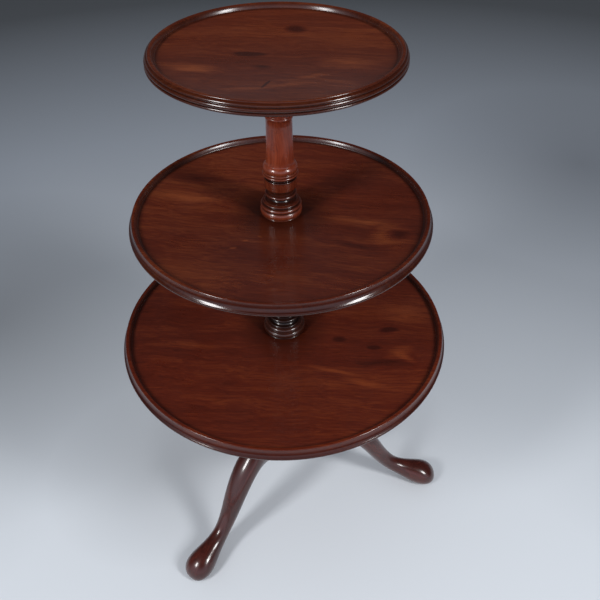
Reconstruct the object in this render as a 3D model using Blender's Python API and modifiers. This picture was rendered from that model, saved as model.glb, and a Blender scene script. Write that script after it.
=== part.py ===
"""Three-tier dumbwaiter table: dished round trays that turn on a turned pillar with cabriole legs.

Metres, +Z up. One leg points along +X, and the origin is on the floor at the middle of the
table's length and width, so the pillar's axis lies a little to the -X side of it.
Run with: blender --background --python part.py
"""
import math

import bmesh
import bpy
from mathutils import Matrix, Vector

# Clearances and shared counts
GAP = 0.0003             # between seated faces, and round glued joints and screws
PLAY = 0.0005            # round a turning journal
OVERRUN = 0.002          # how far a cutter runs past the face that it cuts
WELD = 0.00001           # merge distance
TRAY_SIDES = 48
STEM_SIDES = 20
BOSS_SIDES = 32
SCREW_SIDES = 8
BOSS_SCREWS = 4
LEG_NAMES = ("leg_right", "leg_back_left", "leg_front_left")

# Trays: outer radius, height of the rim's crest over the floor, thickness at the rim
TRAY_RADIUS = {"bottom": 0.308, "middle": 0.2545, "top": 0.189}
TRAY_HEIGHT = {"bottom": 0.475, "middle": 0.742, "top": 1.014}
TRAY_THICKNESS = {"bottom": 0.021, "middle": 0.020, "top": 0.0175}
DISH_DEPTH = {"bottom": 0.010, "middle": 0.0095, "top": 0.0085}
RIM_WIDTH = 0.012
COVE_RADIUS = 0.0055
COVE_STEPS = 4

# Rim section from the crest's inner foot, over the crest and down the three outer bands:
# shares of the rim width, inwards from the outer edge, and of the thickness, down from the crest
RIM_SHARES = (
    (1.00, 0.14), (0.94, 0.03), (0.82, 0.00), (0.52, 0.00), (0.37, 0.05), (0.33, 0.15),
    (0.41, 0.26), (0.22, 0.31), (0.14, 0.42), (0.16, 0.54), (0.27, 0.63), (0.10, 0.68),
    (0.00, 0.78), (0.03, 0.89), (0.16, 0.97), (0.34, 1.00),
)

# The trays that carry a stem, with that stem's name, and the shallow sinking in the floor that
# keeps the stem's foot from binding on the tray
STEM_ABOVE = {"bottom": "middle", "middle": "top"}
SINKING_MARGIN = 0.001
SINKING_DEPTH = 0.0004

# Bosses under the trays: shares of their radius and, down from the tray, of their thickness
BOSS_RADIUS = {"bottom": 0.074, "middle": 0.066, "top": 0.056}
BOSS_THICKNESS = 0.024
BOSS_SHARES = ((0.97, 0.00), (1.00, 0.10), (1.00, 0.45), (0.94, 0.55), (0.93, 0.70), (0.84, 1.00))
SCREW_CIRCLE_SHARE = 0.68

# Journals turn in the trays, and the tenons above them join the next stem
JOURNAL_RADIUS = {"bottom": 0.016, "middle": 0.015, "top": 0.013}
JOURNAL_PROUD = 0.0002
TENON_RADIUS = 0.0095
TENON_LENGTH = 0.026
TOP_JOURNAL_LENGTH = 0.018

# Stems, named after the tray that they carry: the foot stands over the tray below, and the
# body rises to the boss. Shares of the foot's or body's radius and height, from below
FOOT_RADIUS = {"middle": 0.0415, "top": 0.0365}
FOOT_HEIGHT = {"middle": 0.040, "top": 0.046}
BODY_RADIUS = {"middle": 0.031, "top": 0.029}
FOOT_SHARES = (
    (0.93, 0.00), (1.00, 0.08), (1.00, 0.27), (0.93, 0.36), (0.77, 0.38), (0.77, 0.45),
    (0.53, 0.49), (0.49, 0.60), (0.53, 0.71), (0.64, 0.78), (0.65, 0.92), (0.60, 0.97),
)
BODY_SHARES = (
    (0.86, 0.00), (0.87, 0.10), (0.93, 0.115), (0.99, 0.130), (0.98, 0.148), (0.90, 0.160),
    (0.94, 0.180), (0.93, 0.205), (0.86, 0.242), (0.79, 0.285), (0.73, 0.350), (0.70, 0.430),
    (0.70, 0.560), (0.69, 0.640), (0.77, 0.655), (0.77, 0.690), (0.67, 0.715), (0.65, 0.800),
    (0.78, 0.870), (1.05, 0.915), (1.12, 0.935), (1.12, 1.000),
)

# Cabriole legs, from the root in the block to the toe. Each row pairs a point on the upper line
# with one on the lower line, as shares of the reach and the rise, then gives the share of the
# leg's width and the squareness of the section there. A sole below the floor is cut flat
LEG_REACH = 0.344
LEG_RISE = 0.226
LEG_WIDTH = 0.049
ROOT_SHARE = 0.465
LEG_SHARES = (
    ((0.060, 1.000), (0.060, ROOT_SHARE), 0.72, 5.0),
    ((0.110, 1.000), (0.110, ROOT_SHARE), 0.75, 5.0),
    ((0.170, 1.000), (0.165, 0.500), 0.84, 4.4),
    ((0.245, 0.982), (0.230, 0.578), 0.94, 3.6),
    ((0.322, 0.934), (0.297, 0.636), 1.02, 3.0),
    ((0.398, 0.870), (0.362, 0.655), 1.07, 2.6),
    ((0.464, 0.796), (0.410, 0.624), 1.07, 2.4),
    ((0.522, 0.703), (0.453, 0.557), 1.03, 2.3),
    ((0.574, 0.596), (0.497, 0.476), 0.96, 2.2),
    ((0.617, 0.491), (0.539, 0.386), 0.87, 2.1),
    ((0.654, 0.393), (0.582, 0.294), 0.77, 2.0),
    ((0.694, 0.313), (0.627, 0.212), 0.69, 2.0),
    ((0.734, 0.255), (0.678, 0.143), 0.66, 2.0),
    ((0.791, 0.229), (0.744, 0.082), 0.76, 2.0),
    ((0.848, 0.218), (0.806, 0.023), 0.98, 2.1),
    ((0.897, 0.209), (0.862, -0.022), 1.16, 2.2),
    ((0.941, 0.188), (0.912, -0.030), 1.22, 2.2),
    ((0.976, 0.147), (0.957, -0.026), 1.04, 2.1),
    ((0.995, 0.100), (0.987, -0.006), 0.66, 2.0),
    ((1.000, 0.062), (0.999, 0.028), 0.26, 2.0),
)
LEG_RINGS = 26
LEG_SIDES = 16

# Base stem: a straight block that houses the legs, then a vase up to the bottom tray's boss
BLOCK_RADIUS = 0.038
BLOCK_BOTTOM = ROOT_SHARE * LEG_RISE
BLOCK_SHOULDER = 0.007   # how far the block stands over the legs' roots
BLOCK_CHAMFER = 0.0025
VASE_SHARES = (
    (1.00, 0.00), (1.10, 0.02), (1.10, 0.07), (0.92, 0.09), (0.62, 0.12), (0.60, 0.16),
    (0.80, 0.22), (1.06, 0.30), (1.12, 0.38), (1.02, 0.50), (0.80, 0.62), (0.62, 0.73),
    (0.60, 0.78), (0.74, 0.80), (0.74, 0.85), (0.61, 0.87), (0.72, 0.92), (0.96, 0.96),
    (1.00, 1.00),
)

# Sliding dovetails that hold the legs in the block, entered from below
TONGUE_DEPTH = 0.015
TONGUE_NECK = 0.012
TONGUE_FLARE = 0.018
TONGUE_HEIGHT = 0.098
TONGUE_LIFT = 0.003
TONGUE_ROOT = 0.006      # how far the tongue runs into its leg

# Wrought-iron brace under the block, its arms bent up along the legs
BRACE_THICKNESS = 0.003
BRACE_RADIUS = 0.030
ARM_WIDTH = 0.018
ARM_END_SHARE = 0.275    # of the legs' reach

# Countersunk wood screws
SCREW_HEAD = 0.0044
SCREW_SINK = 0.0026
SCREW_SHANK = 0.0022
SCREW_SLOT_WIDTH = 0.0009
SCREW_SLOT_DEPTH = 0.0010
SCREW_TAPER_SHARE = 0.35
SCREW_TIP_SHARE = 0.35
BOSS_SCREW_LENGTH = 0.031
BRACE_SCREW_LENGTH = 0.020

# Colours as linear red, green and blue
TRAY_COLOUR = (0.075, 0.022, 0.011)
STEM_COLOUR = (0.110, 0.035, 0.018)
LEG_COLOUR = (0.090, 0.026, 0.014)
BOSS_COLOUR = (0.060, 0.022, 0.012)
IRON_COLOUR = (0.030, 0.028, 0.027)
STEEL_COLOUR = (0.200, 0.190, 0.180)


def collection(name):
    made = bpy.data.collections.new(name)
    bpy.context.scene.collection.children.link(made)
    return made


def material(name, colour, roughness, metallic=0.0):
    made = bpy.data.materials.new(name)
    made.use_nodes = True
    shader = made.node_tree.nodes["Principled BSDF"]
    shader.inputs["Base Color"].default_value = (*colour, 1.0)
    shader.inputs["Roughness"].default_value = roughness
    shader.inputs["Metallic"].default_value = metallic
    made.diffuse_color = (*colour, 1.0)
    return made


def piece(name, mesh, look, matrix=Matrix()):
    """A sub-part of the table, with its material, placed from the foot of the pillar's axis."""
    made = bpy.data.objects.new(name, mesh)
    PARTS.objects.link(made)
    if not mesh.materials:
        mesh.materials.append(look)
    made.parent = PILLAR
    made.matrix_basis = matrix
    return made


def cutter(name, mesh, matrix=Matrix()):
    """A guide that cuts the pieces or is joined to them."""
    made = bpy.data.objects.new(name, mesh)
    CUTTERS.objects.link(made)
    made.hide_render = True
    made.display_type = "WIRE"
    made.parent = PILLAR
    made.matrix_basis = matrix
    return made


def outline_mesh(name, outline, closed=False):
    """Edges through (radius, height) points, which run down the outer side."""
    mesh = bpy.data.meshes.new(name)
    edges = [(i, i + 1) for i in range(len(outline) - 1)]
    if closed:
        edges.append((len(outline) - 1, 0))
    mesh.from_pydata([(radius, 0.0, height) for radius, height in outline], edges, [])
    return mesh


def turn(made, sides):
    """Turn an object's outline about its +Z."""
    screw = made.modifiers.new("Turn", "SCREW")
    screw.steps = sides
    screw.render_steps = sides
    screw.use_merge_vertices = True
    screw.merge_threshold = WELD
    return made


def boolean(made, tool, operation="DIFFERENCE"):
    modifier = made.modifiers.new(operation.title() + " " + tool.name, "BOOLEAN")
    modifier.operation = operation
    modifier.object = tool
    modifier.solver = "EXACT"


def taken_mesh(made):
    """The mesh that an object's modifiers give, in place of the object."""
    bpy.context.view_layer.update()
    graph = bpy.context.evaluated_depsgraph_get()
    mesh = bpy.data.meshes.new_from_object(made.evaluated_get(graph))
    bpy.data.objects.remove(made)
    return mesh


def welded(mesh):
    work = bmesh.new()
    work.from_mesh(mesh)
    bmesh.ops.remove_doubles(work, verts=work.verts, dist=WELD)
    bmesh.ops.recalc_face_normals(work, faces=work.faces)
    work.to_mesh(mesh)
    work.free()
    return mesh


def extruded(name, outline, thickness):
    """A flat plate with this outline, half its thickness above and half below the XY plane."""
    curve = bpy.data.curves.new(name, "CURVE")
    curve.dimensions = "2D"
    curve.fill_mode = "BOTH"
    curve.extrude = thickness / 2
    spline = curve.splines.new("POLY")
    spline.points.add(len(outline) - 1)
    for point, (x, y) in zip(spline.points, outline):
        point.co = (x, y, 0.0, 1.0)
    spline.use_cyclic_u = True
    return welded(taken_mesh(cutter(name, curve)))


def copies(name, mesh, matrices):
    """One mesh that holds a copy of a shape at each matrix."""
    work = bmesh.new()
    for matrix in matrices:
        copy = mesh.copy()
        copy.transform(matrix)
        work.from_mesh(copy)
    made = bpy.data.meshes.new(name)
    work.to_mesh(made)
    work.free()
    return made


# Heights that follow from the sizes above
def underside(tray):
    return TRAY_HEIGHT[tray] - TRAY_THICKNESS[tray]


def journal_top(tray):
    return TRAY_HEIGHT[tray] - DISH_DEPTH[tray] + JOURNAL_PROUD


def boss_bottom(tray):
    return underside(tray) - GAP - BOSS_THICKNESS


def capital_top(tray):
    return boss_bottom(tray) - GAP


def tray_outline(tray):
    """Dished board with a coved and reeded rim, heights from its underside."""
    radius, thickness = TRAY_RADIUS[tray], TRAY_THICKNESS[tray]
    dish = thickness - DISH_DEPTH[tray]
    bore = JOURNAL_RADIUS[tray] + PLAY if tray in STEM_ABOVE else 0.0
    cove_centre = radius - RIM_WIDTH - COVE_RADIUS
    if tray in STEM_ABOVE:
        sinking = FOOT_RADIUS[STEM_ABOVE[tray]] + SINKING_MARGIN
        points = [(bore, dish - SINKING_DEPTH), (sinking, dish - SINKING_DEPTH), (sinking, dish)]
    else:
        points = [(bore, dish)]
    for step in range(COVE_STEPS + 1):
        angle = math.radians(90) * (step / COVE_STEPS - 1)
        rise = COVE_RADIUS * (1 + math.sin(angle))
        points.append((cove_centre + COVE_RADIUS * math.cos(angle), dish + rise))
    for width_share, depth_share in RIM_SHARES:
        points.append((radius - RIM_WIDTH * width_share, thickness * (1 - depth_share)))
    points.append((bore, 0.0))
    return points


def boss_outline(tray):
    """Turned block with a moulded edge, heights from its own underside."""
    bore = JOURNAL_RADIUS[tray] + PLAY
    edge = [(BOSS_RADIUS[tray] * r, BOSS_THICKNESS * (1 - z)) for r, z in BOSS_SHARES]
    if tray in STEM_ABOVE:
        return [(bore, BOSS_THICKNESS)] + edge + [(bore, 0.0)]
    socket = TOP_JOURNAL_LENGTH + PLAY
    return [(0.0, BOSS_THICKNESS)] + edge + [(bore, 0.0), (bore, socket), (0.0, socket)]


def shaft_outline(tray, bottom):
    """The end of a stem inside a tray, from the top down: tenon, then journal."""
    radius = JOURNAL_RADIUS[tray]
    shoulder = capital_top(tray) - bottom
    if tray not in STEM_ABOVE:
        end = shoulder + GAP + TOP_JOURNAL_LENGTH
        return [(0.0, end), (radius, end), (radius, shoulder)]
    end = journal_top(tray) - bottom
    tip = end + TENON_LENGTH
    return [(0.0, tip), (TENON_RADIUS, tip), (TENON_RADIUS, end), (radius, end), (radius, shoulder)]


def stem_outline(tray, bottom):
    """Baluster that carries a tray, heights from its foot, with a socket for the tenon below."""
    length = capital_top(tray) - bottom
    foot = FOOT_HEIGHT[tray]
    rising = [(FOOT_RADIUS[tray] * r, foot * z) for r, z in FOOT_SHARES]
    rising += [(BODY_RADIUS[tray] * r, foot + (length - foot) * z) for r, z in BODY_SHARES]
    socket, depth = TENON_RADIUS + GAP, TENON_LENGTH + GAP
    return shaft_outline(tray, bottom) + rising[::-1] + [(socket, 0.0), (socket, depth), (0.0, depth)]


def base_outline():
    """Block for the legs with a vase above it, heights from the block's foot."""
    length = capital_top("bottom") - BLOCK_BOTTOM
    block = LEG_RISE + BLOCK_SHOULDER - BLOCK_BOTTOM
    rising = [(0.0, 0.0), (BLOCK_RADIUS - BLOCK_CHAMFER, 0.0), (BLOCK_RADIUS, BLOCK_CHAMFER)]
    rising += [(BLOCK_RADIUS * r, block + (length - block) * z) for r, z in VASE_SHARES]
    return shaft_outline("bottom", BLOCK_BOTTOM) + rising[::-1]


def screw_outline(length, spare=0.0, overrun=0.0):
    """Countersunk wood screw, its face at height zero and its tip below."""
    head, shank, tip = SCREW_HEAD + spare, SCREW_SHANK + spare, -length - spare
    face = [(0.0, overrun), (head, overrun)]
    if overrun:
        face.append((head, 0.0))
    taper = [(shank, -SCREW_SINK), (shank, tip * (1 - SCREW_TAPER_SHARE)), (shank * SCREW_TIP_SHARE, tip)]
    return face + taper + [(0.0, tip)]


def screw_mesh(name, length):
    """A screw with its slot cut."""
    made = turn(cutter(name, outline_mesh(name, screw_outline(length))), SCREW_SIDES)
    wide, narrow = SCREW_HEAD + OVERRUN, SCREW_SLOT_WIDTH / 2
    corners = [(-wide, -narrow), (wide, -narrow), (wide, narrow), (-wide, narrow)]
    slot = cutter(name + "_slot", extruded(name + "_slot", corners, 2 * SCREW_SLOT_DEPTH))
    boolean(made, slot)
    mesh = taken_mesh(made)
    bpy.data.objects.remove(slot)
    mesh.materials.append(LOOKS["screw"])
    return mesh


def hole_mesh(name, length):
    """What a screw takes out of the pieces that it holds."""
    return taken_mesh(turn(cutter(name, outline_mesh(name, screw_outline(length, GAP, OVERRUN))), SCREW_SIDES))


def leg_value(column, position):
    """Value at a fractional position along a column of the leg's shares, on a smooth curve."""
    last = len(column) - 1
    i = min(int(position), last - 1)
    t = position - i
    a, b, c, d = column[max(i - 1, 0)], column[i], column[i + 1], column[min(i + 2, last)]
    bend = 2 * a - 5 * b + 4 * c - d
    return (2 * b + (c - a) * t + bend * t ** 2 + (3 * b - a - 3 * c + d) * t ** 3) / 2


def leg_sections():
    """Upper point, lower point, half width and squareness of each ring, on a leg along +X."""
    columns = list(zip(*[(*upper, *lower, width, square) for upper, lower, width, square in LEG_SHARES]))
    sections = []
    for ring in range(LEG_RINGS):
        position = ring * (len(LEG_SHARES) - 1) / (LEG_RINGS - 1)
        top_x, top_z, low_x, low_z, width, square = [leg_value(column, position) for column in columns]
        upper = Vector((top_x * LEG_REACH, 0.0, top_z * LEG_RISE))
        lower = Vector((low_x * LEG_REACH, 0.0, low_z * LEG_RISE))
        sections.append((upper, lower, width * LEG_WIDTH / 2, square))
    return sections


def leg_mesh():
    """Loft through superellipse sections, flat at the floor."""
    work = bmesh.new()
    rings = []
    for upper, lower, half_width, square in leg_sections():
        middle, half = (upper + lower) / 2, (upper - lower) / 2
        ring = []
        for side in range(LEG_SIDES):
            angle = math.tau * side / LEG_SIDES
            across = math.copysign(abs(math.cos(angle)) ** (2 / square), math.cos(angle))
            along = math.copysign(abs(math.sin(angle)) ** (2 / square), math.sin(angle))
            point = middle + half * along + Vector((0.0, half_width * across, 0.0))
            point.z = max(point.z, 0.0)
            ring.append(work.verts.new(point))
        rings.append(ring)
    for ring, following in zip(rings, rings[1:]):
        for side in range(LEG_SIDES):
            after = (side + 1) % LEG_SIDES
            work.faces.new((ring[side], ring[after], following[after], following[side]))
    work.faces.new(rings[0])
    work.faces.new(rings[-1])
    bmesh.ops.recalc_face_normals(work, faces=work.faces)
    mesh = bpy.data.meshes.new("leg")
    work.to_mesh(mesh)
    work.free()
    mesh.shade_smooth()
    return mesh


def dovetail_mesh(name, spare, outer, low, high):
    """A tongue of dovetail plan on a leg along +X, grown by a spare, between two heights."""
    inner = BLOCK_RADIUS - TONGUE_DEPTH - spare
    flare, neck = TONGUE_FLARE / 2 + spare, TONGUE_NECK / 2 + spare
    half_plan = [(inner, flare), (BLOCK_RADIUS, neck), (outer, neck)]
    plan = half_plan + [(x, -y) for x, y in half_plan[::-1]]
    mesh = extruded(name, plan, high - low)
    mesh.transform(Matrix.Translation((0.0, 0.0, (high + low) / 2)))
    return mesh


def arm_line():
    """Side view of what an arm lies against: the block's foot, then the leg's lower line."""
    rings = [(lower.x, lower.z) for upper, lower, half_width, square in leg_sections()]
    along_leg = [(x, z) for x, z in rings if BLOCK_RADIUS < x < LEG_REACH * ARM_END_SHARE]
    return [(0.0, BLOCK_BOTTOM), (BLOCK_RADIUS, BLOCK_BOTTOM)] + along_leg


def offset_line(line, distance):
    """The same line moved to its lower side, square to its run at each point."""
    moved = []
    for i, (x, z) in enumerate(line):
        before, after = line[max(i - 1, 0)], line[min(i + 1, len(line) - 1)]
        run, rise = after[0] - before[0], after[1] - before[1]
        size = math.hypot(run, rise)
        moved.append((x + distance * rise / size, z - distance * run / size))
    return moved


def arm_screw_place(line):
    """Where the screw near an arm's end sits: its face on the arm, square to it."""
    (x0, z0), (x1, z1) = line[-3], line[-2]
    outward = Vector((z1 - z0, 0.0, x0 - x1)).normalized()
    seat = Vector(((x0 + x1) / 2, 0.0, (z0 + z1) / 2)) + outward * (GAP + BRACE_THICKNESS)
    return Matrix.Translation(seat) @ outward.to_track_quat("Z", "Y").to_matrix().to_4x4()


def build_tray(tray, screw, hole):
    """A tray with its boss and their screws, which turn together about one pivot."""
    pivot = bpy.data.objects.new(tray + "_pivot", None)
    PARTS.objects.link(pivot)
    pivot.parent = PILLAR
    pivot.location = (0.0, 0.0, boss_bottom(tray))
    head_down = Matrix.Rotation(math.pi, 4, "X")
    seat = Matrix.Translation((BOSS_RADIUS[tray] * SCREW_CIRCLE_SHARE, 0.0, boss_bottom(tray)))
    angles = [math.tau * (index + 0.5) / BOSS_SCREWS for index in range(BOSS_SCREWS)]
    places = [Matrix.Rotation(angle, 4, "Z") @ seat @ head_down for angle in angles]
    name = tray + "_screw_holes"
    holes = cutter(name, copies(name, hole, places))

    bored = tray in STEM_ABOVE
    tier_mesh = outline_mesh(tray + "_tier", tray_outline(tray), closed=bored)
    tier = piece(tray + "_tier", tier_mesh, LOOKS["tray"], Matrix.Translation((0.0, 0.0, underside(tray))))
    boss_mesh = outline_mesh(tray + "_boss", boss_outline(tray), closed=bored)
    boss = piece(tray + "_boss", boss_mesh, LOOKS["boss"], Matrix.Translation(pivot.location))
    boolean(turn(tier, TRAY_SIDES), holes)
    boolean(turn(boss, BOSS_SIDES), holes)
    screws = [piece(f"{tray}_boss_screw_{number}", screw, LOOKS["screw"], place)
              for number, place in enumerate(places, 1)]
    for child in [tier, boss] + screws:
        child.parent = pivot
        child.matrix_parent_inverse = Matrix.Translation(pivot.location).inverted()


def build_stem(name, outline, bottom):
    stem = piece(name, outline_mesh(name, outline), LOOKS["stem"], Matrix.Translation((0.0, 0.0, bottom)))
    return turn(stem, STEM_SIDES)


def build_brace(turns, arm, screw, hole):
    """Three-armed plate under the block with a screw in the block and one in each leg."""
    top, bottom = BLOCK_BOTTOM - GAP, BLOCK_BOTTOM - GAP - BRACE_THICKNESS
    outline = [(0.0, top), (BRACE_RADIUS, top), (BRACE_RADIUS, bottom), (0.0, bottom)]
    brace = turn(piece("leg_brace", outline_mesh("leg_brace", outline), LOOKS["brace"]), STEM_SIDES)
    for index, matrix in enumerate(turns):
        boolean(brace, cutter(f"brace_arm_{index}", arm, matrix), "UNION")
    centre = Matrix.Translation((0.0, 0.0, bottom)) @ Matrix.Rotation(math.pi, 4, "X")
    places = [centre] + [matrix @ arm_screw_place(arm_line()) for matrix in turns]
    holes = cutter("brace_screw_holes", copies("brace_screw_holes", hole, places))
    boolean(brace, holes)
    for name, place in zip(("centre", *LEG_NAMES), places):
        piece("brace_screw_" + name.removeprefix("leg_"), screw, LOOKS["screw"], place)
    return holes


def build_base():
    """Base stem with its dovetail housings, the three legs, and the brace under them."""
    turns = [Matrix.Rotation(math.tau * index / len(LEG_NAMES), 4, "Z") for index in range(len(LEG_NAMES))]
    line = arm_line()
    arm_sides = offset_line(line, GAP) + offset_line(line, GAP + BRACE_THICKNESS)[::-1]
    arm = extruded("brace_arm", arm_sides, ARM_WIDTH)
    arm.transform(Matrix.Rotation(math.radians(90), 4, "X"))
    screw = screw_mesh("brace_screw", BRACE_SCREW_LENGTH)
    screw_holes = build_brace(turns, arm, screw, hole_mesh("brace_hole", BRACE_SCREW_LENGTH))

    low, high = BLOCK_BOTTOM + TONGUE_LIFT, BLOCK_BOTTOM + TONGUE_HEIGHT
    tongue = dovetail_mesh("tongue", 0.0, BLOCK_RADIUS + TONGUE_ROOT, low, high)
    housing = dovetail_mesh("housing", GAP, BLOCK_RADIUS + OVERRUN, BLOCK_BOTTOM - OVERRUN, high + GAP)
    stem = build_stem("base_stem", base_outline(), BLOCK_BOTTOM)
    boolean(stem, cutter("housings", copies("housings", housing, turns)))
    boolean(stem, screw_holes)

    side = BLOCK_RADIUS + GAP
    block_outline = [(0.0, LEG_RISE + OVERRUN), (side, LEG_RISE + OVERRUN),
                     (side, BLOCK_BOTTOM - OVERRUN), (0.0, BLOCK_BOTTOM - OVERRUN)]
    block_room = turn(cutter("block_room", outline_mesh("block_room", block_outline)), STEM_SIDES)
    shape = leg_mesh()
    for name, matrix in zip(LEG_NAMES, turns):
        leg = piece(name, shape.copy(), LOOKS["leg"], matrix)
        boolean(leg, block_room)
        boolean(leg, cutter(name + "_tongue", tongue, matrix), "UNION")
        boolean(leg, screw_holes)


for old in list(bpy.data.objects):
    bpy.data.objects.remove(old)
PARTS = collection("dumbwaiter_table")
CUTTERS = collection("cutters")
PILLAR = bpy.data.objects.new("pillar_axis", None)
PARTS.objects.link(PILLAR)
PILLAR.location.x = (TRAY_RADIUS["bottom"] - LEG_REACH) / 2
LOOKS = {
    "tray": material("polished_mahogany_tray", TRAY_COLOUR, 0.28),
    "stem": material("polished_mahogany_stem", STEM_COLOUR, 0.22),
    "leg": material("polished_mahogany_leg", LEG_COLOUR, 0.25),
    "boss": material("mahogany_boss", BOSS_COLOUR, 0.55),
    "brace": material("wrought_iron", IRON_COLOUR, 0.60, 1.0),
    "screw": material("steel_screw", STEEL_COLOUR, 0.45, 1.0),
}
build_base()
middle_bottom = journal_top("bottom") + GAP
top_bottom = journal_top("middle") + GAP
build_stem("middle_stem", stem_outline("middle", middle_bottom), middle_bottom)
build_stem("upper_stem", stem_outline("top", top_bottom), top_bottom)
boss_screw = screw_mesh("boss_screw", BOSS_SCREW_LENGTH)
boss_hole = hole_mesh("boss_hole", BOSS_SCREW_LENGTH)
for tray_name in TRAY_RADIUS:
    build_tray(tray_name, boss_screw, boss_hole)
bpy.context.view_layer.update()
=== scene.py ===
import math

import bpy
from mathutils import Matrix, Vector


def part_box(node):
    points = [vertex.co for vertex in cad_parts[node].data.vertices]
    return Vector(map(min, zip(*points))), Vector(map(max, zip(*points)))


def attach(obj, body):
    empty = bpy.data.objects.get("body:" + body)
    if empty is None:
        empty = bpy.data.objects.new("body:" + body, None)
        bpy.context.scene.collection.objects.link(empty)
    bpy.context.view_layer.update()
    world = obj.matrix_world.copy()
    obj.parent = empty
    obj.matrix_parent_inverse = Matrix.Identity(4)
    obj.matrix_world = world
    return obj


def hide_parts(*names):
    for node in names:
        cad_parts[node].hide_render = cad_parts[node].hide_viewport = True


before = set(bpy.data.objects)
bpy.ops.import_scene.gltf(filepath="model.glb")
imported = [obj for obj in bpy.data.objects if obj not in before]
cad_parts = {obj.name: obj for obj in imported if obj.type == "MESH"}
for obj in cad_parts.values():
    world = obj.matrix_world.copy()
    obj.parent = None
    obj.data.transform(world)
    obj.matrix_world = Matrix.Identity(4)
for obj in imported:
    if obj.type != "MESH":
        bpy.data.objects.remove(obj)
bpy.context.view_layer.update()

# Base stem. One length of mahogany turned between centres: a straight block that houses the
# legs, a vase above it, then a journal that runs up through the bottom tray and a tenon for the
# next stem. Stained red-brown and French polished, with old polish and painted shade dark in the
# hollows.
low, high = (Vector(corner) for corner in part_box("base_stem"))
AXIS_X = (low.x + high.x) / 2
PLAY = 0.0003                   # between glued or seated faces
TURNING_PLAY = 0.0005           # round a journal that a tray turns on
BLOCK_RADIUS = 0.038
BLOCK_FOOT = low.z
BLOCK_TOP = 0.233
CAPITAL_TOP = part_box("bottom_boss")[0][2] - PLAY
JOURNAL_RADIUS = {"bottom": 0.016, "middle": 0.015, "top": 0.013}
JOURNAL_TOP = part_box("middle_stem")[0][2] - PLAY
TENON_RADIUS = 0.0095
TONGUE_FOOT, TONGUE_HEAD = 0.003, 0.098     # heights of a leg's tongue over the block's foot
LEG_NAMES = ("leg_right", "leg_back_left", "leg_front_left")
LEG_TURNS = [math.tau * index / 3 for index in range(3)]
STEM_TONES = ("#34120a", "#702a15", "#9a4a2e")


def linear(colour):
    """An sRGB hex colour as the linear values that a shader takes."""
    shares = [int(colour[i:i + 2], 16) / 255 for i in (1, 3, 5)]
    return (*(c / 12.92 if c < 0.04045 else ((c + 0.055) / 1.055) ** 2.4 for c in shares), 1.0)


def node(tree, kind, inputs={}, stops=(), **settings):
    """Adds a shader node with its settings, and fills its inputs from sockets or plain values."""
    made = tree.nodes.new("ShaderNode" + kind)
    for name, value in settings.items():
        setattr(made, name, value)
    for name, value in inputs.items():
        if isinstance(value, bpy.types.NodeSocket):
            tree.links.new(value, made.inputs[name])
        else:
            made.inputs[name].default_value = value
    for index, (place, colour) in enumerate(stops):
        ramp = made.color_ramp.elements
        stop = ramp[index] if index < 2 else ramp.new(place)
        stop.position = place
        stop.color = linear(colour) if isinstance(colour, str) else (colour, colour, colour, 1.0)
    return made


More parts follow.
